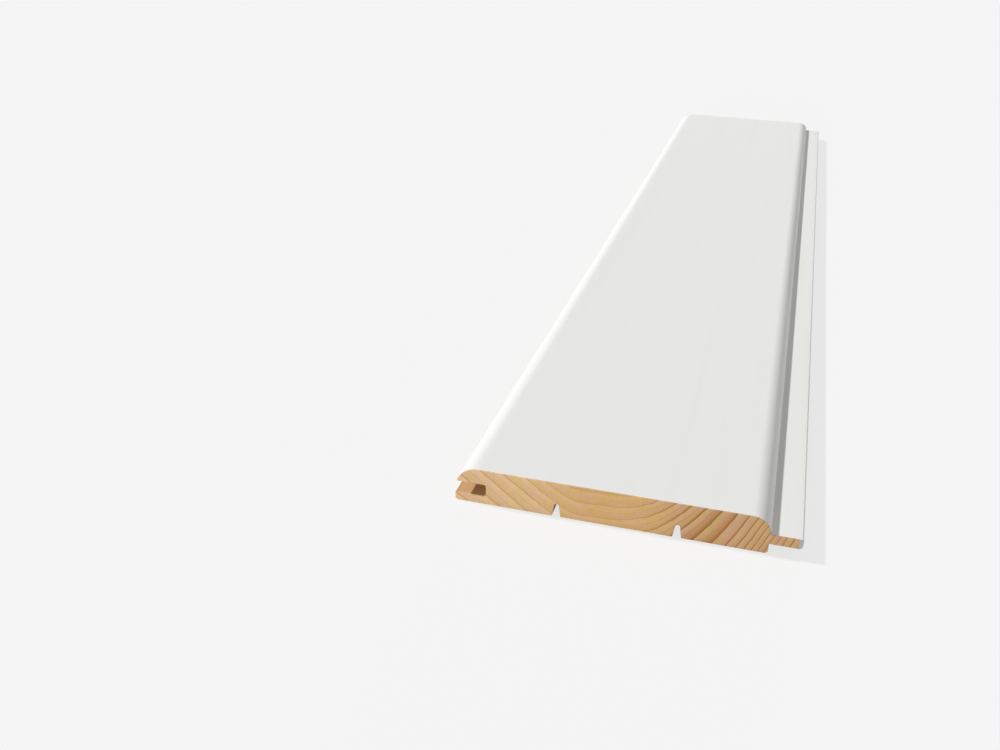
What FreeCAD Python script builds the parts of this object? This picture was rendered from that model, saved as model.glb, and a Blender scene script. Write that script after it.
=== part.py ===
"""Tongue and groove board of the 120 mm wide panelling size, one planed softwood section sawn to length.

The section is drawn across the board in the XZ plane and run along the length in Y. The board lies on
its back: +Z is out of the face, the tongue is on the +X edge and the groove in the -X edge. The origin is
on the back, under the middle of the overall width and of the length. While the section is drawn, x starts
at the groove edge.
"""
import FreeCAD
import Part

import math
import os

# The board, in millimetres
LENGTH = 660.0
THICKNESS = 13.5
COVER_WIDTH = 109.5  # groove edge to the shoulder, which is what one laid board covers
FACE_ROUND_AT_GROOVE = 8.0  # the face's long edge over the groove
FACE_ROUND_AT_TONGUE = 6.5  # the face's long edge over the tongue
BACK_EDGE_ROUND = 1.2  # both long edges of the back
BACK_SHOULDER_SET_BACK = 0.3  # the shoulder under the tongue stands back from the one over it

# The tongue, which stands out from the shoulder
TONGUE_LENGTH = 10.5
TONGUE_THICKNESS = 3.8
TONGUE_BELOW_FACE = 5.9  # face down to the tongue's upper side
TONGUE_UPPER_ROUND = 0.6
TONGUE_LOWER_ROUND = 1.4

# The groove, which takes the tongue of the next board
CLEARANCE_OVER_TONGUE = 0.1
CLEARANCE_UNDER_TONGUE = 0.6
CLEARANCE_AT_TIP = 0.7
GROOVE_CORNER_ROUND = 0.9

# The pair of relief grooves in the back, which keep the board from cupping
RELIEF_SPACING = 42.0
RELIEF_OFF_MIDDLE = 3.2  # the pair's middle from the middle of the cover width, towards the tongue
RELIEF_MOUTH = 3.0
RELIEF_TOP = 1.8  # width where the round top begins
RELIEF_DEPTH = 5.0

# How far a cutting outline runs past the side that it opens
CUT_PAST = 2.0


def point(x, z):
    """A point of the section, moved so that the overall width is centred on x = 0."""
    return FreeCAD.Vector(x - (COVER_WIDTH + TONGUE_LENGTH) / 2, 0, z)


def filled(edges):
    """The flat face inside a closed row of edges."""
    return Part.Face(Part.Wire(edges))


def rounded_outline(corners):
    """A flat face through corners given in order, each as x, z and the radius that rounds it."""
    before_round = []
    mid_round = []
    after_round = []
    for i in range(len(corners)):
        x, z, radius = corners[i]
        corner = point(x, z)
        back = (point(*corners[i - 1][:2]) - corner).normalize()
        ahead = (point(*corners[(i + 1) % len(corners)][:2]) - corner).normalize()
        half_angle = back.getAngle(ahead) / 2
        inward = (back + ahead).normalize()
        before_round.append(corner + back * (radius / math.tan(half_angle)))
        mid_round.append(corner + inward * (radius / math.sin(half_angle) - radius))
        after_round.append(corner + ahead * (radius / math.tan(half_angle)))
    edges = []
    for i in range(len(corners)):
        if corners[i][2] > 0:
            edges.append(Part.Arc(before_round[i], mid_round[i], after_round[i]).toShape())
        edges.append(Part.LineSegment(after_round[i], before_round[(i + 1) % len(corners)]).toShape())
    return filled(edges)


def body_outline(step_height):
    """The board without its tongue, its tongue edge stepped back below step_height."""
    back_shoulder = COVER_WIDTH - BACK_SHOULDER_SET_BACK
    return rounded_outline([
        (0, 0, BACK_EDGE_ROUND),
        (0, THICKNESS, FACE_ROUND_AT_GROOVE),
        (COVER_WIDTH, THICKNESS, FACE_ROUND_AT_TONGUE),
        (COVER_WIDTH, step_height, 0),
        (back_shoulder, step_height, 0),
        (back_shoulder, 0, BACK_EDGE_ROUND),
    ])


def tongue_outline(tongue_bottom, tongue_top):
    """The tongue, rooted inside the body by as much as it stands out."""
    root = COVER_WIDTH - TONGUE_LENGTH
    tip = COVER_WIDTH + TONGUE_LENGTH
    return rounded_outline([
        (root, tongue_bottom, 0),
        (root, tongue_top, 0),
        (tip, tongue_top, TONGUE_UPPER_ROUND),
        (tip, tongue_bottom, TONGUE_LOWER_ROUND),
    ])


def groove_outline(tongue_bottom, tongue_top):
    """The space that the next board's tongue needs, open at the groove edge."""
    groove_end = TONGUE_LENGTH + CLEARANCE_AT_TIP
    groove_bottom = tongue_bottom - CLEARANCE_UNDER_TONGUE
    groove_top = tongue_top + CLEARANCE_OVER_TONGUE
    return rounded_outline([
        (-CUT_PAST, groove_bottom, 0),
        (-CUT_PAST, groove_top, 0),
        (groove_end, groove_top, GROOVE_CORNER_ROUND),
        (groove_end, groove_bottom, GROOVE_CORNER_ROUND),
    ])


def relief_outline(middle):
    """A relief groove that narrows from its mouth in the back to a round top."""
    top_radius = RELIEF_TOP / 2
    round_start = RELIEF_DEPTH - top_radius
    left_wall = [
        point(middle - RELIEF_MOUTH / 2, -CUT_PAST),
        point(middle - RELIEF_MOUTH / 2, 0),
        point(middle - top_radius, round_start),
    ]
    right_wall = [
        point(middle + top_radius, round_start),
        point(middle + RELIEF_MOUTH / 2, 0),
        point(middle + RELIEF_MOUTH / 2, -CUT_PAST),
    ]
    round_top = Part.Arc(left_wall[-1], point(middle, RELIEF_DEPTH), right_wall[0]).toShape()
    left_edges = Part.makePolygon(left_wall).Edges
    right_edges = Part.makePolygon(right_wall).Edges
    mouth = Part.LineSegment(right_wall[-1], left_wall[0]).toShape()
    return filled(left_edges + [round_top] + right_edges + [mouth])


def board_section():
    """The whole section as one flat face."""
    tongue_top = THICKNESS - TONGUE_BELOW_FACE
    tongue_bottom = tongue_top - TONGUE_THICKNESS
    body = body_outline(tongue_top - TONGUE_THICKNESS / 2)
    section = body.fuse(tongue_outline(tongue_bottom, tongue_top)).removeSplitter()
    section = section.cut(groove_outline(tongue_bottom, tongue_top))
    pair_middle = COVER_WIDTH / 2 + RELIEF_OFF_MIDDLE
    for side in (-1, 1):
        section = section.cut(relief_outline(pair_middle + side * RELIEF_SPACING / 2))
    return section.removeSplitter().Faces[0]


def board():
    """The section run along the length, centred on y = 0."""
    section = board_section()
    section.translate(FreeCAD.Vector(0, -LENGTH / 2, 0))
    return section.extrude(FreeCAD.Vector(0, LENGTH, 0))


os.makedirs("parts", exist_ok=True)
board().exportStep("parts/board.step")
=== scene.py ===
"""Looks of a tongue and groove board: white paint on its face, bare pine on its back, in its groove and on
its sawn ends. The section is drawn from its corners, run along the length by Geometry Nodes, and finished
with materials that share one field of growth rings, so that the end grain and the long grain belong together.
"""

import math

import bpy
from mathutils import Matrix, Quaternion, Vector


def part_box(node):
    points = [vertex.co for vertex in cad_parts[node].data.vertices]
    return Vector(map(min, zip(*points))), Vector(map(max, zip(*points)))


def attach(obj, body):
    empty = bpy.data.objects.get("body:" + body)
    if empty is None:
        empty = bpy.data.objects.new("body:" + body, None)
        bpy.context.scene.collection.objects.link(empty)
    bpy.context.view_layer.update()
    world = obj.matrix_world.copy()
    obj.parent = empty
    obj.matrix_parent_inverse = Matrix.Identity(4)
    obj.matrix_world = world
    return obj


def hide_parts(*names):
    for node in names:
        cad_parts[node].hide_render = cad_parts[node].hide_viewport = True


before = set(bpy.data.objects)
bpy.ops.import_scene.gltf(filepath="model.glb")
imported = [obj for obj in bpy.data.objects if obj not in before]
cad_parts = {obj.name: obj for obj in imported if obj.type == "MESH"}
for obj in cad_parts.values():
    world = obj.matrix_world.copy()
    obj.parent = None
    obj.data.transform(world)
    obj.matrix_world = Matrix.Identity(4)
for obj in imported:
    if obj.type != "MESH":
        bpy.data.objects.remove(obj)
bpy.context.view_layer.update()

MM = 0.001
WHITE = (1, 1, 1, 1)

# The section, in metres; the overall width, thickness and length come from the board's part
TONGUE_LENGTH = 10.5 * MM
TONGUE_THICKNESS = 3.8 * MM
TONGUE_BELOW_FACE = 5.9 * MM
TONGUE_UPPER_ROUND = 0.6 * MM
TONGUE_LOWER_ROUND = 1.4 * MM
FACE_ROUND_AT_GROOVE = 8.0 * MM
FACE_ROUND_AT_TONGUE = 6.5 * MM
BACK_EDGE_ROUND = 1.2 * MM
BACK_SHOULDER_SET_BACK = 0.3 * MM
CLEARANCE_OVER_TONGUE = 0.1 * MM
CLEARANCE_UNDER_TONGUE = 0.6 * MM
CLEARANCE_AT_TIP = 0.7 * MM
GROOVE_CORNER_ROUND = 0.9 * MM
RELIEF_SPACING = 42.0 * MM
RELIEF_OFF_MIDDLE = 3.2 * MM
RELIEF_MOUTH = 3.0 * MM
RELIEF_TOP = 1.8 * MM
RELIEF_DEPTH = 5.0 * MM

# Fine edges and the mesh's own spacing
PLANED_ARRIS = 0.4 * MM
SAWN_ARRIS = 0.25 * MM
LONGEST_RUN = 2.0 * MM
STATION_SPACING = 10.0 * MM
ROUND_STEP = math.radians(4)
ARRIS_STEP = math.radians(12)
SHARP_FROM = math.radians(25)
END_FACING = 0.3  # how far a normal leans along the length where the wood is sawn

# Paint and pine, as linear colours
PAINT_COOL = (0.885, 0.886, 0.868, 1)
PAINT_WARM = (0.875, 0.870, 0.842, 1)
PLANED_EARLYWOOD = (0.72, 0.50, 0.27, 1)
PLANED_LATEWOOD = (0.62, 0.36, 0.15, 1)
PLANED_LINE = (0.46, 0.22, 0.07, 1)
SAWN_BY_GROOVE = (0.71, 0.49, 0.275, 1)
SAWN_IN_MIDDLE = (0.63, 0.405, 0.185, 1)
SAWN_BY_TONGUE = (0.56, 0.36, 0.185, 1)
SAWN_LATEWOOD = (0.43, 0.19, 0.075, 1)
SAWN_LINE = (0.30, 0.14, 0.03, 1)
# Grey for the white paint on the tongue's tip at the ends: a painted shade, the tone the paint shows in shade
TIP_PAINT_IN_PAINTED_SHADE = (0.41, 0.41, 0.42, 1)
YELLOWER = (0.97, 1.0, 0.7)
PINKER = (1.03, 0.98, 1.27)

# Roughness, gloss, and fine relief as its depth and how strongly it shows
PAINT_ROUGHNESS = 0.5
PAINT_GLOSS = 0.04
PAINT_RELIEF = 0.03 * MM
PAINT_RELIEF_SHOWN = 0.25
PLANED_ROUGHNESS = 0.62
PLANED_GLOSS = 0.3
PLANED_RELIEF = 0.05 * MM
SAWN_ROUGHNESS = 0.8
SAWN_GLOSS = 0.15
SAWN_RELIEF = 0.06 * MM
WOOD_RELIEF_SHOWN = 0.5

# The log, in millimetres: its rings hang like bowls, level in the middle, rising in a straight slope towards
# the groove and ever steeper towards the tongue
SLOPE_FROM = -15.0
SLOPE = 0.8
SLOPE_EASE = 8.0
RISE_FROM = -3.0
RISE = 0.02375
DEPTH_AT_ORIGIN = 19.96
DEPTH_PER_LENGTH = 0.012
RING_WANDER = 2.4
RING_RIPPLE = 1.0
LEAST_DEPTH = 0.05

# The years: rings to a millimetre, and the swing between wide years and narrow ones
RINGS_PER_MM = 0.158
FIRST_RING = 0.45
SWING = -0.55
SWING_PER_MM = 0.09
SWING_START = -3.42

# Stretches of a ring, as shares of it
EARLY_TO_LATE = (0.05, 0.95)
LATE_TO_NEXT = (0.96, 1.0)
LINE_START = 0.86
LINE_END = 0.95
LINE_WIDER_ON_FLANK = 0.13
FALSE_RING_IN = (0.38, 0.46)
FALSE_RING_OUT = (0.46, 0.5)
FALSE_RING_SHARE = 0.45

# Stretches across the board, in millimetres from its middle, and of the rings by their count
PALE_TO_TAN = (-40.0, -8.0)
LEVEL_FROM = (-34.0, -24.0)
LEVEL_TO = (-2.0, 12.0)
FLANK_FROM = (4.0, 26.0)
NARROW_YEARS_FROM = (24.0, 34.0)
# Where the grey on the tongue's tip begins, painted there as painted shade
TIP_PAINT_IN_PAINTED_SHADE_FROM = (58.5, 58.8)
HEARTWOOD_FROM = (4.9, 5.3)
HEARTWOOD_TO = (6.9, 7.05)

# Noise: its repeats to a millimetre across, along and up the board, and how many finer layers it has
WANDER_NOISE = (0.05, 0.006, 0.05), 1.0
RIPPLE_NOISE = (0.3, 0.012, 0.3), 2.0
TONE_NOISE = (0.12, 0.006, 2.4), 2.0  # the third of these is to a ring
STREAK_NOISE = (0.12, 0.004, 0.12), 3.0
MIST_NOISE = (1.6, 1.6, 1.6), 2.0
PAINTED_FIBRE_NOISE = (2.2, 0.05, 2.2), 3.0
PLANED_FIBRE_NOISE = (3.0, 0.03, 3.0), 4.0
PLANED_CLOUD_NOISE = (0.05, 0.01, 0.05), 2.0
SAWN_CLOUD_NOISE = (0.25, 0.25, 0.25), 3.0
PORE_NOISE = (2.6, 2.6, 2.6), 2.0
MOTTLE_NOISE = (1.1, 1.1, 1.1), 3.0
SAW_NOISE = (2.2, 0.1, 0.12), 2.0

# How much of each thing shows in the white paint
COOL_TO_WARM = (-0.1, 0.25)
MIST_IN_PAINT = 0.012
MIST_IN_ROUGHNESS = 0.08
MIST_IN_RELIEF = 0.5
LINES_IN_PAINTED_RELIEF = 0.5

# How much of each thing shows in the planed pine
PLANED_BAND_SHOWN = 0.5
PLANED_LINE_SHOWN = 0.6
PLANED_FIBRES_SHOWN = 0.22
PLANED_CLOUDS_SHOWN = 0.15
FIBRES_IN_ROUGHNESS = 0.15
LINES_IN_PLANED_RELIEF = 0.6

# How much of each thing shows in the sawn ends
YELLOW_TO_PINK = (-0.24, 0.24)
TONE_IN_HUE = 0.8
SAWN_BAND_SHOWN = 0.2
BAND_MORE_IN_HEARTWOOD = 0.55
BAND_MORE_ON_FLANK = 0.12
SAWN_LINE_SHOWN = 0.4
LINE_MORE_ON_FLANK = 0.5
LINE_LESS_WHERE_LEVEL = 0.24
CLOUDS_IN_LINE = 0.8
PORES_SHOWN = 0.24
SAWN_CLOUDS_SHOWN = 0.14
SAW_MARKS_SHOWN = 0.1
LINES_IN_SAWN_RELIEF = 0.4

# The camera, in metres and degrees, for a frame 1000 pixels wide
CAMERA_PLACE = (0.0376, -0.63253, 0.20035)
CAMERA_AIM = (-0.07307, -0.22546, 0.0)
CAMERA_ROLL = 1.567
FOCAL_PIXELS = 1042.6
FRAME_PIXELS = 1000
SENSOR_WIDTH = 36.0

# The light: a key lamp from the left, a low fill from the right, a low lamp on each end, and an even sky
KEY_FROM = (-1.0, 0.1, 0.92)
KEY_STRENGTH = 2.55
KEY_SPREAD = 4.0
FILL_FROM = (1.0, -0.1, 0.12)
FILL_STRENGTH = 0.44
FRONT_FROM = (-0.1, -1.0, 0.02)
FRONT_STRENGTH = 3.15
REAR_FROM = (0.0, 1.0, 0.02)
REAR_STRENGTH = 1.9
LOW_LAMP_SPREAD = 10.0
SKY_STRENGTH = 0.28

# The plain surroundings: how bright they show, where 1 is white, and how much of the shadow shows
BACKGROUND = 0.92
FLOOR_SHADOW = 0.2
FLOOR_COLOUR = (0.4, 0.4, 0.4, 1)
FLOOR_SIZE = 12.0


def arc(centre_x, centre_z, radius, start, end):
    """Points on a round stretch of the section, its angles in radians from +X."""
    steps = max(2, round(abs(end - start) / ROUND_STEP))
    angles = [start + (end - start) * i / steps for i in range(steps + 1)]
    return [(centre_x + radius * math.cos(a), centre_z + radius * math.sin(a)) for a in angles]


def round_over_groove(groove_edge, face, groove_top):
    """The groove lip's x, and the round from just past the lip up to the face."""
    radius = FACE_ROUND_AT_GROOVE
    centre_x = groove_edge + radius
    centre_z = face - radius
    lip_angle = math.pi - math.asin((groove_top - centre_z) / radius)
    past_lip = lip_angle - 2 * PLANED_ARRIS / radius
    return centre_x + radius * math.cos(lip_angle), arc(centre_x, centre_z, radius, past_lip, math.pi / 2)


def round_over_tongue(shoulder, face, tongue_top):
    """The round from the face down to the tongue."""
    radius = FACE_ROUND_AT_TONGUE
    root_angle = math.asin((tongue_top - face + radius) / radius)
    return arc(shoulder - radius, face - radius, radius, math.pi / 2, root_angle)


def relief_corners(middle, back):
    """Corners round a relief groove, from its tongue side to its groove side."""
    radius = RELIEF_TOP / 2
    round_top = arc(middle, back + RELIEF_DEPTH - radius, radius, 0, math.pi)
    mouth = [(middle + side * RELIEF_MOUTH / 2, back, PLANED_ARRIS, False) for side in (1, -1)]
    return [mouth[0], *[(x, z, 0, False) for x, z in round_top], mouth[1]]


def section_corners(low, high):
    """Corners round the section, each as x, z, the radius that eases it and whether paint reaches it."""
    groove_edge = low.x
    back = low.z
    tip = high.x
    face = high.z
    shoulder = tip - TONGUE_LENGTH
    back_shoulder = shoulder - BACK_SHOULDER_SET_BACK
    tongue_top = face - TONGUE_BELOW_FACE
    tongue_bottom = tongue_top - TONGUE_THICKNESS
    groove_top = tongue_top + CLEARANCE_OVER_TONGUE
    groove_bottom = tongue_bottom - CLEARANCE_UNDER_TONGUE
    groove_end = groove_edge + TONGUE_LENGTH + CLEARANCE_AT_TIP
    lip_x, over_groove = round_over_groove(groove_edge, face, groove_top)
    over_tongue = round_over_tongue(shoulder, face, tongue_top)
    pair_middle = (groove_edge + shoulder) / 2 + RELIEF_OFF_MIDDLE
    return [
        (lip_x, groove_top, PLANED_ARRIS, True),
        *[(x, z, 0, True) for x, z in over_groove + over_tongue],
        (tip, tongue_top, TONGUE_UPPER_ROUND, True),
        (tip, tongue_bottom, TONGUE_LOWER_ROUND, True),
        (back_shoulder, tongue_bottom, 0, False),
        (back_shoulder, back, BACK_EDGE_ROUND, False),
        *relief_corners(pair_middle + RELIEF_SPACING / 2, back),
        *relief_corners(pair_middle - RELIEF_SPACING / 2, back),
        (groove_edge, back, BACK_EDGE_ROUND, False),
        (groove_edge, groove_bottom, PLANED_ARRIS, False),
        (groove_end, groove_bottom, GROOVE_CORNER_ROUND, False),
        (groove_end, groove_top, GROOVE_CORNER_ROUND, False),
    ]


def eased(corners):
    """The corners with each radius drawn as an arc, as a list of places and whether paint reaches them."""
    places = []
    for i, (x, z, radius, painted) in enumerate(corners):
        corner = Vector((x, 0, z))
        if radius == 0:
            places.append((corner, painted))
            continue
        before = corners[i - 1]
        after = corners[(i + 1) % len(corners)]
        back = (Vector((before[0], 0, before[1])) - corner).normalized()
        ahead = (Vector((after[0], 0, after[1])) - corner).normalized()
        half_angle = back.angle(ahead) / 2
        centre = corner + (back + ahead).normalized() * (radius / math.sin(half_angle))
        first = corner + back * (radius / math.tan(half_angle)) - centre
        last = corner + ahead * (radius / math.tan(half_angle)) - centre
        steps = max(2, round(first.angle(last) / ARRIS_STEP))
        turns = [first.slerp(last, step / steps) for step in range(steps + 1)]
        places += [(centre + turn * radius, painted) for turn in turns]
    return places


def with_short_runs(places):
    """The places with more of them along each straight run, none further apart than the longest run."""
    filled = []
    for i, (place, painted) in enumerate(places):
        following, following_painted = places[(i + 1) % len(places)]
        parts = math.ceil((following - place).length / LONGEST_RUN)
        filled.append((place, painted))
        for part in range(1, parts):
            filled.append((place.lerp(following, part / parts), painted and following_painted))
    return filled


def section_loop(low, high):
    """The section as a closed loop of edges, with the attribute painted on its points."""
    places = with_short_runs(eased(section_corners(low, high)))
    mesh = bpy.data.meshes.new("section")
    edges = [(i, (i + 1) % len(places)) for i in range(len(places))]
    mesh.from_pydata([place for place, painted in places], edges, [])
    mesh.attributes.new("painted", "BOOLEAN", "POINT")
    mesh.attributes["painted"].data.foreach_set("value", [painted for place, painted in places])
    return mesh


class Nodes:
    """A node tree with short ways to add and join its nodes."""

    def __init__(self, tree):
        self.tree = tree

    def add(self, kind, *values, **settings):
        """A new node with its settings, and its inputs in order; None leaves an input as it is."""
        node = self.tree.nodes.new(kind)
        for name, setting in settings.items():
            setattr(node, name, setting)
        self.feed(node, dict(enumerate(values)))
        return node

    def feed(self, node, inputs):
        """Joins or sets a node's inputs, given by place or by name."""
        for key, value in inputs.items():
            if value is None:
                continue
            if isinstance(value, bpy.types.NodeSocket):
                self.tree.links.new(value, node.inputs[key])
            else:
                node.inputs[key].default_value = value

    def maths(self, operation, *values):
        """The result of a sum on numbers."""
        return self.add("ShaderNodeMath", *values, operation=operation).outputs[0]

    def vector(self, operation, *values):
        """The result of a sum on vectors."""
        return self.add("ShaderNodeVectorMath", *values, operation=operation).outputs[0]

    def scaled(self, vector, amount):
        """A vector or colour times a number."""
        node = self.add("ShaderNodeVectorMath", vector, operation="SCALE")
        self.feed(node, {"Scale": amount})
        return node.outputs[0]

    def joined(self, x, y, z):
        """A vector from its parts; None leaves a part at 0."""
        return self.add("ShaderNodeCombineXYZ", x, y, z).outputs[0]

    def split(self, vector):
        """A vector's parts."""
        return self.add("ShaderNodeSeparateXYZ", vector).outputs

    def same(self, count, other):
        """1 where two whole numbers are the same."""
        return self.maths("COMPARE", count, other, 0.1)

    def noise(self, place, scale, detail):
        """Smooth noise about zero, a half either way, with a scale for each axis."""
        node = self.add("ShaderNodeTexNoise")
        self.feed(node, {"Vector": self.vector("MULTIPLY", place, scale), "Scale": 1.0, "Detail": detail})
        return self.maths("SUBTRACT", node.outputs[0], 0.5)

    def step(self, value, start, end):
        """Rises smoothly from 0 to 1 as the value goes from start to end."""
        node = self.add("ShaderNodeMapRange", interpolation_type="SMOOTHSTEP")
        self.feed(node, {"Value": value, "From Min": start, "From Max": end})
        return node.outputs["Result"]

    def blend(self, factor, under, over):
        """One colour laid over another by a factor."""
        node = self.add("ShaderNodeMix", data_type="RGBA")
        self.feed(node, {0: factor, 6: under, 7: over})
        return node.outputs[2]

    def shade(self, colour, amount):
        """A colour made lighter or darker by an amount about zero."""
        return self.scaled(colour, self.maths("ADD", amount, 1.0))


def new_run():
    """An empty tree for running a section along the board, with a named input for each size and finish."""
    tree = bpy.data.node_groups.new("run_along_the_board", "GeometryNodeTree")
    tree.interface.new_socket("Section", in_out="INPUT", socket_type="NodeSocketGeometry")
    for name in ("Length", "Station Spacing", "Sawn Arris", "Sharp From"):
        tree.interface.new_socket(name, in_out="INPUT", socket_type="NodeSocketFloat")
    for name in ("White Paint", "Planed Pine", "Sawn End"):
        tree.interface.new_socket(name, in_out="INPUT", socket_type="NodeSocketMaterial")
    tree.interface.new_socket("Board", in_out="OUTPUT", socket_type="NodeSocketGeometry")
    return tree


def keeping(nodes, geometry, kind, name, value):
    """A geometry that keeps a value on its points, and the value as kept."""
    kept = nodes.add("GeometryNodeCaptureAttribute")
    kept.capture_items.new(kind, name)
    nodes.feed(kept, {0: geometry, 1: value})
    return kept.outputs[0], kept.outputs[1]


def flat_outline(nodes, section):
    """The section laid flat for the sweep, where x stays and height becomes -y, and its way outward."""
    outline = nodes.add("GeometryNodeMeshToCurve", section).outputs[0]
    place = nodes.split(nodes.add("GeometryNodeInputPosition").outputs[0])
    flat = nodes.joined(place["X"], nodes.maths("MULTIPLY", place["Z"], -1.0), None)
    outline = nodes.add("GeometryNodeSetPosition", outline, None, flat).outputs[0]
    tangent = nodes.add("GeometryNodeInputTangent").outputs[0]
    outward = nodes.vector("CROSS_PRODUCT", tangent, (0.0, 0.0, 1.0))
    return keeping(nodes, outline, "VECTOR", "Outward", outward)


def path_along(nodes, length, spacing, arris):
    """The straight path of the sweep with a station just inside each end, and 1 on the ends themselves."""
    half = nodes.maths("DIVIDE", length, 2.0)
    near = nodes.joined(None, nodes.maths("MULTIPLY", half, -1.0), None)
    far = nodes.joined(None, half, None)
    line = nodes.add("GeometryNodeCurvePrimitiveLine", near, far).outputs[0]
    stations = nodes.maths("CEIL", nodes.maths("DIVIDE", length, spacing))
    path = nodes.add("GeometryNodeResampleCurve")
    nodes.feed(path, {"Curve": line, "Count": stations})

    # The second station and the last but one move to the width of the arris from the ends
    station = nodes.add("GeometryNodeInputIndex").outputs[0]
    last_but_one = nodes.same(station, nodes.maths("SUBTRACT", stations, 2.0))
    beside_end = nodes.maths("MAXIMUM", nodes.same(station, 1.0), last_but_one)
    along = nodes.split(nodes.add("GeometryNodeInputPosition").outputs[0])["Y"]
    inset = nodes.maths("SUBTRACT", half, arris)
    moved = nodes.joined(None, nodes.maths("MULTIPLY", nodes.maths("SIGN", along), inset), None)
    path = nodes.add("GeometryNodeSetPosition", path.outputs[0], beside_end, moved).outputs[0]
    ends = nodes.add("GeometryNodeCurveEndpointSelection", 1, 1).outputs[0]
    return keeping(nodes, path, "FLOAT", "At End", ends)


def swept(nodes, path, at_end, outline, outward, arris):
    """The outline run along the path with its ends closed, the end rings drawn in by the arris."""
    sweep = nodes.add("GeometryNodeCurveToMesh")
    nodes.feed(sweep, {"Curve": path, "Profile Curve": outline, "Fill Caps": True})
    way = nodes.split(outward)
    upright = nodes.joined(way["X"], None, nodes.maths("MULTIPLY", way["Y"], -1.0))
    drawn_in = nodes.maths("MULTIPLY", nodes.maths("MULTIPLY", at_end, arris), -1.0)
    board = nodes.add("GeometryNodeSetPosition")
    nodes.feed(board, {"Geometry": sweep.outputs[0], "Offset": nodes.scaled(upright, drawn_in)})
    return board.outputs[0]


def with_sharp_edges(nodes, board, sharp_from):
    """The board shaded smooth, but for the edges that bend by more than an angle."""
    bend = nodes.add("GeometryNodeInputMeshEdgeAngle").outputs["Unsigned Angle"]
    sharp = nodes.add("FunctionNodeCompare", data_type="FLOAT", operation="GREATER_THAN")
    nodes.feed(sharp, {0: bend, 1: sharp_from})
    smooth = nodes.add("GeometryNodeSetShadeSmooth", board, domain="FACE").outputs[0]
    marked = nodes.add("GeometryNodeStoreNamedAttribute", data_type="BOOLEAN", domain="EDGE")
    nodes.feed(marked, {"Geometry": smooth, "Name": "sharp_edge", "Value": sharp.outputs[0]})
    return marked.outputs[0]


def with_finishes(nodes, board, paint, pine, sawn):
    """The board with bare pine all over, paint where the section says, and sawn wood on the ends."""
    painted = nodes.add("GeometryNodeInputNamedAttribute", "painted", data_type="BOOLEAN").outputs[0]
    facing = nodes.split(nodes.add("GeometryNodeInputNormal").outputs[0])["Y"]
    on_end = nodes.maths("GREATER_THAN", nodes.maths("ABSOLUTE", facing), END_FACING)
    whole = nodes.add("GeometryNodeRealizeInstances", board).outputs[0]
    whole = nodes.add("GeometryNodeSetMaterial", whole, None, pine).outputs[0]
    whole = nodes.add("GeometryNodeSetMaterial", whole, painted, paint).outputs[0]
    return nodes.add("GeometryNodeSetMaterial", whole, on_end, sawn).outputs[0]


def run_along_the_board():
    """The node tree that runs a section along the length, eases its sawn ends and lays on the finishes."""
    tree = new_run()
    nodes = Nodes(tree)
    given = nodes.add("NodeGroupInput").outputs
    outline, outward = flat_outline(nodes, given["Section"])
    path, at_end = path_along(nodes, given["Length"], given["Station Spacing"], given["Sawn Arris"])
    board = swept(nodes, path, at_end, outline, outward, given["Sawn Arris"])
    board = with_sharp_edges(nodes, board, given["Sharp From"])
    board = with_finishes(nodes, board, given["White Paint"], given["Planed Pine"], given["Sawn End"])
    nodes.add("NodeGroupOutput", board)
    return tree


def set_inputs(modifier, values):
    """Sets a tree's named inputs on its modifier, by each socket's identifier."""
    for socket in modifier.node_group.interface.items_tree:
        if socket.in_out == "INPUT" and socket.name in values:
            modifier[socket.identifier] = values[socket.name]


def make_board(low, high, paint, pine, sawn):
    """The board as one plain mesh, in the place of its solid."""
    maker = bpy.data.objects.new("section", section_loop(low, high))
    bpy.context.scene.collection.objects.link(maker)
    modifier = maker.modifiers.new("run", "NODES")
    modifier.node_group = run_along_the_board()
    set_inputs(modifier, {
        "Length": high.y - low.y,
        "Station Spacing": STATION_SPACING,
        "Sawn Arris": SAWN_ARRIS,
        "Sharp From": SHARP_FROM,
        "White Paint": paint,
        "Planed Pine": pine,
        "Sawn End": sawn,
    })
    evaluated = maker.evaluated_get(bpy.context.evaluated_depsgraph_get())
    mesh = bpy.data.meshes.new_from_object(evaluated)
    mesh.name = "painted_board"
    bpy.data.objects.remove(maker)
    board = bpy.data.objects.new("painted_board", mesh)
    bpy.context.scene.collection.objects.link(board)
    return board


def millimetres(nodes):
    """The place on the board, in millimetres from its origin."""
    metres = nodes.add("ShaderNodeTexCoord").outputs["Object"]
    return nodes.vector("MULTIPLY", metres, (1 / MM, 1 / MM, 1 / MM))


def ring_depth(nodes, place):
    """How far out from the heart of the log a point lies, across its growth rings."""
    x, y, z = nodes.split(place)
    right = nodes.maths("MAXIMUM", nodes.maths("SUBTRACT", x, RISE_FROM), 0.0)
    right = nodes.maths("MULTIPLY", nodes.maths("MULTIPLY", right, right), RISE)
    left = nodes.maths("MAXIMUM", nodes.maths("SUBTRACT", SLOPE_FROM, x), 0.0)
    left = nodes.maths("SQRT", nodes.maths("MULTIPLY_ADD", left, left, SLOPE_EASE ** 2))
    left = nodes.maths("MULTIPLY_ADD", left, SLOPE, -SLOPE * SLOPE_EASE)
    depth = nodes.maths("SUBTRACT", nodes.maths("ADD", right, left), z)
    depth = nodes.maths("ADD", depth, nodes.maths("MULTIPLY_ADD", y, DEPTH_PER_LENGTH, DEPTH_AT_ORIGIN))
    wander = nodes.noise(place, *WANDER_NOISE)
    ripple = nodes.noise(place, *RIPPLE_NOISE)
    depth = nodes.maths("MULTIPLY_ADD", wander, RING_WANDER, depth)
    depth = nodes.maths("MULTIPLY_ADD", ripple, RING_RIPPLE, depth)
    return nodes.maths("MAXIMUM", depth, LEAST_DEPTH)


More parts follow.
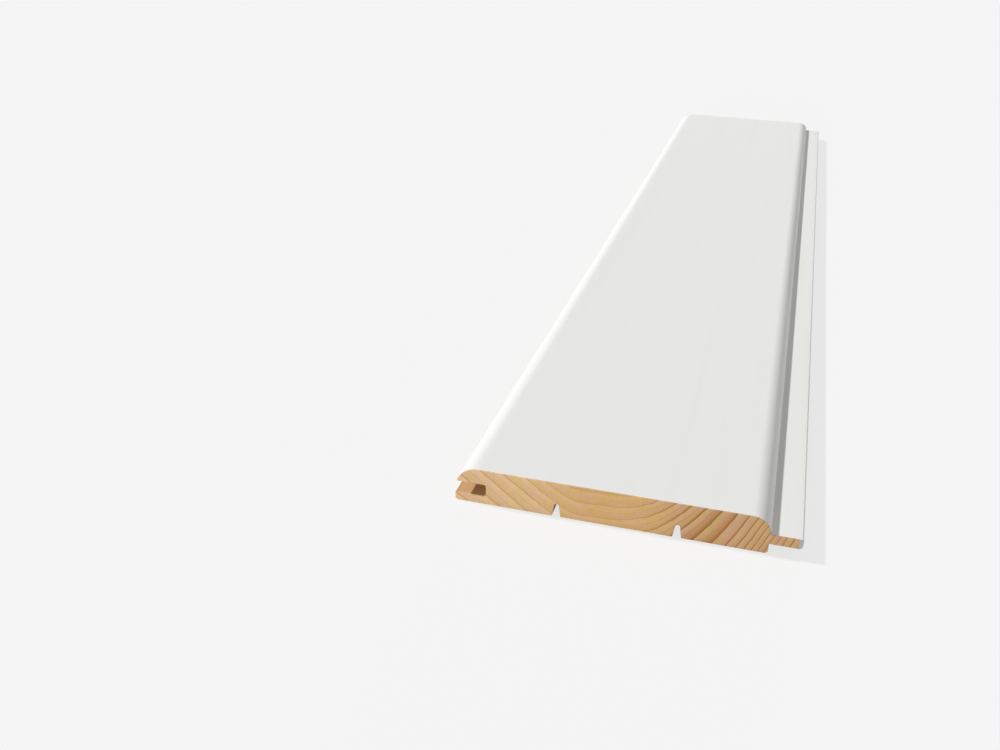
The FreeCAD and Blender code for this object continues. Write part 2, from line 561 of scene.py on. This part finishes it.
def ring_count(nodes, depth):
    """How many rings lie inside a depth; some years are wider than others."""
    swing = nodes.maths("SINE", nodes.maths("MULTIPLY_ADD", depth, SWING_PER_MM, SWING_START))
    count = nodes.maths("MULTIPLY_ADD", depth, RINGS_PER_MM, FIRST_RING)
    return nodes.maths("MULTIPLY_ADD", swing, SWING, count)


def ring_line(nodes, x, share, flank, ended):
    """The dark line that ends each ring, and a faint false one halfway through the wide years."""
    start = nodes.maths("MULTIPLY_ADD", flank, -LINE_WIDER_ON_FLANK, LINE_START)
    line = nodes.maths("MULTIPLY", nodes.step(share, start, LINE_END), ended)
    rising = nodes.step(share, *FALSE_RING_IN)
    falling = nodes.step(share, *FALSE_RING_OUT)
    false_ring = nodes.maths("SUBTRACT", rising, falling)
    narrow = nodes.maths("MULTIPLY", nodes.step(x, *NARROW_YEARS_FROM), FALSE_RING_SHARE)
    return nodes.maths("MULTIPLY_ADD", false_ring, nodes.maths("SUBTRACT", FALSE_RING_SHARE, narrow), line)


def growth_rings():
    """The log that the board was sawn from, as a group: where a point lies between two growth rings."""
    tree = bpy.data.node_groups.new("growth_rings", "ShaderNodeTree")
    for name in ("Line", "Band", "Flank", "Heartwood", "Tone"):
        tree.interface.new_socket(name, in_out="OUTPUT", socket_type="NodeSocketFloat")
    nodes = Nodes(tree)
    place = millimetres(nodes)
    x, y = nodes.split(place)[:2]
    count = ring_count(nodes, ring_depth(nodes, place))
    share = nodes.maths("FRACT", count)
    flank = nodes.step(x, *FLANK_FROM)
    ended = nodes.maths("SUBTRACT", 1.0, nodes.step(share, *LATE_TO_NEXT))
    line = ring_line(nodes, x, share, flank, ended)
    band = nodes.maths("MULTIPLY", nodes.step(share, *EARLY_TO_LATE), ended)
    heart = nodes.maths("SUBTRACT", nodes.step(count, *HEARTWOOD_FROM), nodes.step(count, *HEARTWOOD_TO))
    heart = nodes.maths("MULTIPLY", heart, flank)
    tone = nodes.noise(nodes.joined(x, y, count), *TONE_NOISE)
    nodes.add("NodeGroupOutput", line, band, flank, heart, tone)
    return tree


def new_material(name, gloss):
    """An empty node material, with its shader joined to the output."""
    material = bpy.data.materials.new(name)
    material.use_nodes = True
    nodes = Nodes(material.node_tree)
    nodes.tree.nodes.clear()
    shader = nodes.add("ShaderNodeBsdfPrincipled")
    shader.inputs["Specular IOR Level"].default_value = gloss
    nodes.add("ShaderNodeOutputMaterial", shader.outputs[0])
    return material, nodes, shader


def lay_on(nodes, shader, colour, roughness, height, relief, relief_shown):
    """Gives a shader its colour and roughness, and a height as fine relief."""
    bump = nodes.add("ShaderNodeBump")
    nodes.feed(bump, {"Strength": relief_shown, "Distance": relief, "Height": height})
    nodes.feed(shader, {"Base Color": colour, "Roughness": roughness, "Normal": bump.outputs[0]})


def white_paint(rings):
    """Sprayed white paint, with a trace of the grain under it."""
    material, nodes, shader = new_material("white_paint", PAINT_GLOSS)
    place = millimetres(nodes)
    grain = nodes.add("ShaderNodeGroup", node_tree=rings).outputs
    streak = nodes.noise(place, *STREAK_NOISE)
    fibre = nodes.noise(place, *PAINTED_FIBRE_NOISE)
    mist = nodes.noise(place, *MIST_NOISE)
    colour = nodes.blend(nodes.step(streak, *COOL_TO_WARM), PAINT_COOL, PAINT_WARM)
    colour = nodes.shade(colour, nodes.maths("MULTIPLY", mist, MIST_IN_PAINT))
    roughness = nodes.maths("MULTIPLY_ADD", mist, MIST_IN_ROUGHNESS, PAINT_ROUGHNESS)
    height = nodes.maths("MULTIPLY_ADD", grain["Line"], LINES_IN_PAINTED_RELIEF, fibre)
    height = nodes.maths("MULTIPLY_ADD", mist, MIST_IN_RELIEF, height)
    lay_on(nodes, shader, colour, roughness, height, PAINT_RELIEF, PAINT_RELIEF_SHOWN)
    return material


def planed_pine(rings):
    """Bare planed pine along the grain, for the back, the groove and the relief grooves."""
    material, nodes, shader = new_material("planed_pine", PLANED_GLOSS)
    place = millimetres(nodes)
    grain = nodes.add("ShaderNodeGroup", node_tree=rings).outputs
    fibre = nodes.noise(place, *PLANED_FIBRE_NOISE)
    cloud = nodes.noise(place, *PLANED_CLOUD_NOISE)
    band = nodes.maths("MULTIPLY", grain["Band"], PLANED_BAND_SHOWN)
    colour = nodes.blend(band, PLANED_EARLYWOOD, PLANED_LATEWOOD)
    colour = nodes.blend(nodes.maths("MULTIPLY", grain["Line"], PLANED_LINE_SHOWN), colour, PLANED_LINE)
    tint = nodes.maths("MULTIPLY", cloud, PLANED_CLOUDS_SHOWN)
    tint = nodes.maths("MULTIPLY_ADD", fibre, PLANED_FIBRES_SHOWN, tint)
    colour = nodes.shade(colour, tint)
    roughness = nodes.maths("MULTIPLY_ADD", fibre, FIBRES_IN_ROUGHNESS, PLANED_ROUGHNESS)
    height = nodes.maths("MULTIPLY_ADD", grain["Line"], LINES_IN_PLANED_RELIEF, fibre)
    lay_on(nodes, shader, colour, roughness, height, PLANED_RELIEF, WOOD_RELIEF_SHOWN)
    return material


def sawn_ground(nodes, x, grain, mottle):
    """Earlywood: pale by the groove, tan in the middle, browner by the tongue, mottled yellow and pink."""
    colour = nodes.blend(nodes.step(x, *PALE_TO_TAN), SAWN_BY_GROOVE, SAWN_IN_MIDDLE)
    colour = nodes.blend(grain["Flank"], colour, SAWN_BY_TONGUE)
    yellow = nodes.vector("MULTIPLY", colour, YELLOWER)
    pink = nodes.vector("MULTIPLY", colour, PINKER)
    hue = nodes.maths("MULTIPLY_ADD", grain["Tone"], TONE_IN_HUE, mottle)
    return nodes.blend(nodes.step(hue, *YELLOW_TO_PINK), yellow, pink)


def sawn_latewood(nodes, x, grain, cloud, ground):
    """Latewood: a broad reddish rise in the heartwood, and a dark line, faint where the rings are level."""
    wide = nodes.maths("MULTIPLY_ADD", grain["Heartwood"], BAND_MORE_IN_HEARTWOOD, SAWN_BAND_SHOWN)
    wide = nodes.maths("MULTIPLY_ADD", grain["Flank"], BAND_MORE_ON_FLANK, wide)
    colour = nodes.blend(nodes.maths("MULTIPLY", grain["Band"], wide), ground, SAWN_LATEWOOD)
    level = nodes.maths("SUBTRACT", nodes.step(x, *LEVEL_FROM), nodes.step(x, *LEVEL_TO))
    thin = nodes.maths("MULTIPLY_ADD", grain["Flank"], LINE_MORE_ON_FLANK, SAWN_LINE_SHOWN)
    thin = nodes.maths("MULTIPLY_ADD", level, -LINE_LESS_WHERE_LEVEL, thin)
    thin = nodes.maths("MULTIPLY", thin, nodes.maths("MULTIPLY_ADD", cloud, CLOUDS_IN_LINE, 1.0))
    return nodes.blend(nodes.maths("MULTIPLY", grain["Line"], thin), colour, SAWN_LINE)


def sawn_end(rings):
    """Sawn end grain, its rings darker and redder towards the tongue, and grey paint on the tongue's tip as
    painted shade.
    """
    material, nodes, shader = new_material("sawn_end", SAWN_GLOSS)
    place = millimetres(nodes)
    grain = nodes.add("ShaderNodeGroup", node_tree=rings).outputs
    x = nodes.split(place)["X"]
    pores = nodes.noise(place, *PORE_NOISE)
    cloud = nodes.noise(place, *SAWN_CLOUD_NOISE)
    mottle = nodes.noise(place, *MOTTLE_NOISE)
    saw = nodes.noise(place, *SAW_NOISE)
    colour = sawn_ground(nodes, x, grain, mottle)
    colour = sawn_latewood(nodes, x, grain, cloud, colour)
    tint = nodes.maths("MULTIPLY", cloud, SAWN_CLOUDS_SHOWN)
    tint = nodes.maths("MULTIPLY_ADD", pores, PORES_SHOWN, tint)
    colour = nodes.shade(colour, nodes.maths("MULTIPLY_ADD", saw, SAW_MARKS_SHOWN, tint))
    # Painted shade: the paint on the tongue's tip is laid on grey, as it looks in shade
    colour = nodes.blend(nodes.step(x, *TIP_PAINT_IN_PAINTED_SHADE_FROM), colour, TIP_PAINT_IN_PAINTED_SHADE)
    rough = nodes.maths("ADD", pores, saw)
    height = nodes.maths("MULTIPLY_ADD", grain["Line"], LINES_IN_SAWN_RELIEF, rough)
    lay_on(nodes, shader, colour, SAWN_ROUGHNESS, height, SAWN_RELIEF, WOOD_RELIEF_SHOWN)
    return material


def seen_directly(nodes):
    """1 for what the camera sees, straight on, in a gloss or through glass; 0 for light on other things."""
    path = nodes.add("ShaderNodeLightPath").outputs
    seen = nodes.maths("MAXIMUM", path["Is Camera Ray"], path["Is Glossy Ray"])
    return nodes.maths("MAXIMUM", seen, path["Is Transmission Ray"])


def pale_floor():
    """A matt material that shows as bright as the sky, with part of the shadow that falls on it."""
    material = bpy.data.materials.new("pale_floor")
    material.use_nodes = True
    nodes = Nodes(material.node_tree)
    nodes.tree.nodes.clear()
    matt = nodes.add("ShaderNodeBsdfDiffuse", FLOOR_COLOUR).outputs[0]
    glow = nodes.add("ShaderNodeEmission", WHITE, BACKGROUND).outputs[0]
    shaded = nodes.add("ShaderNodeBsdfDiffuse", WHITE).outputs[0]
    shown = nodes.add("ShaderNodeMixShader", FLOOR_SHADOW, glow, shaded).outputs[0]
    mixed = nodes.add("ShaderNodeMixShader", seen_directly(nodes), matt, shown).outputs[0]
    nodes.add("ShaderNodeOutputMaterial", mixed)
    return material


def make_floor():
    """A plain floor under the board."""
    half = FLOOR_SIZE / 2
    corners = [(-half, -half, 0), (half, -half, 0), (half, half, 0), (-half, half, 0)]
    mesh = bpy.data.meshes.new("floor")
    mesh.from_pydata(corners, [], [(0, 1, 2, 3)])
    mesh.materials.append(pale_floor())
    floor = bpy.data.objects.new("floor", mesh)
    bpy.context.scene.collection.objects.link(floor)
    return floor


def add_lamp(name, direction, strength, spread, in_gloss):
    """A far lamp that shines from a direction, its spread in degrees; in_gloss lets it glint in the paint."""
    light = bpy.data.lights.new(name, "SUN")
    light.energy = strength
    light.angle = math.radians(spread)
    lamp = bpy.data.objects.new(name, light)
    lamp.rotation_mode = "QUATERNION"
    lamp.rotation_quaternion = Vector(direction).to_track_quat("Z", "Y")
    lamp.visible_glossy = in_gloss
    bpy.context.scene.collection.objects.link(lamp)


def make_sky():
    """An even sky that lights softly and shows as bright as the floor."""
    world = bpy.data.worlds.new("sky")
    bpy.context.scene.world = world
    world.use_nodes = True
    nodes = Nodes(world.node_tree)
    nodes.tree.nodes.clear()
    light = nodes.add("ShaderNodeBackground", WHITE, SKY_STRENGTH).outputs[0]
    shown = nodes.add("ShaderNodeBackground", WHITE, BACKGROUND).outputs[0]
    mixed = nodes.add("ShaderNodeMixShader", seen_directly(nodes), light, shown).outputs[0]
    nodes.add("ShaderNodeOutputWorld", mixed)


def light_the_board():
    """The sky, a key lamp that leaves the tongue side in shade, and low lamps that leave no glint."""
    make_sky()
    add_lamp("key", KEY_FROM, KEY_STRENGTH, KEY_SPREAD, True)
    add_lamp("fill", FILL_FROM, FILL_STRENGTH, LOW_LAMP_SPREAD, False)
    add_lamp("front", FRONT_FROM, FRONT_STRENGTH, LOW_LAMP_SPREAD, False)
    add_lamp("rear", REAR_FROM, REAR_STRENGTH, LOW_LAMP_SPREAD, False)


def place_camera():
    """A camera above the near end, looking down along the face."""
    lens = bpy.data.cameras.new("camera")
    lens.sensor_width = SENSOR_WIDTH
    lens.lens = FOCAL_PIXELS / FRAME_PIXELS * SENSOR_WIDTH
    camera = bpy.data.objects.new("camera", lens)
    camera.location = CAMERA_PLACE
    look = (Vector(CAMERA_AIM) - Vector(CAMERA_PLACE)).to_track_quat("-Z", "Y")
    camera.rotation_mode = "QUATERNION"
    camera.rotation_quaternion = look @ Quaternion((0, 0, 1), math.radians(CAMERA_ROLL))
    bpy.context.scene.collection.objects.link(camera)
    bpy.context.scene.camera = camera


bpy.context.scene.view_settings.view_transform = "Standard"
place_camera()
light_the_board()
make_floor()

pine_log = growth_rings()
board = make_board(*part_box("board"), white_paint(pine_log), planed_pine(pine_log), sawn_end(pine_log))
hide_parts("board")
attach(board, "root")
